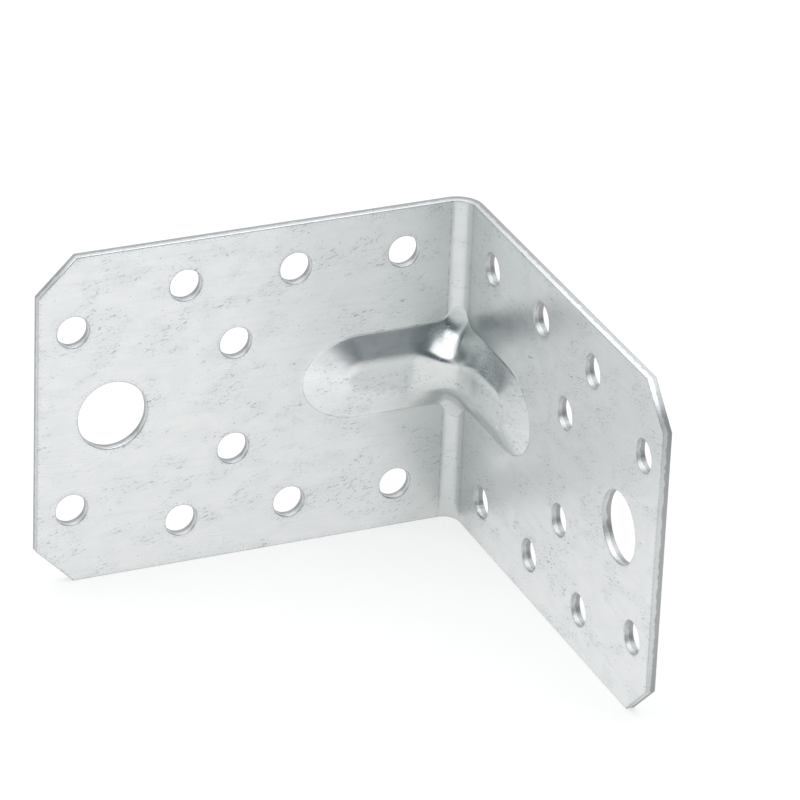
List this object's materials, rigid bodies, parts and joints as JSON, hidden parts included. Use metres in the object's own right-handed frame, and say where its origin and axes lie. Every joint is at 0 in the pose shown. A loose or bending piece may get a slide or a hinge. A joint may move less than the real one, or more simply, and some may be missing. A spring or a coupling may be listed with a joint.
{
  "type": "corner brace bracket",
  "caption": "Equal-legged steel angle bracket with a pressed stiffening rib across the fold, rows of nail holes and a bolt hole in each leg.",
  "frame": {"origin": "centre of the overall box's base, where the bracket's side edges stand on a surface", "axes": "+Z along the fold, across the sheet's width. One leg runs along X with its outer face at +Y, the other along Y with its outer face at +X, and the angle opens towards -X and -Y."},
  "size_m": [0.07, 0.07, 0.0542],
  "materials": {
    "galvanised_steel": "hot-dip galvanised sheet, semi-bright, with fine grain, small scratches and bright cut edges"
  },
  "bodies": {
    "root": {"bracket": "galvanised_steel"}
  },
  "joints": []
}
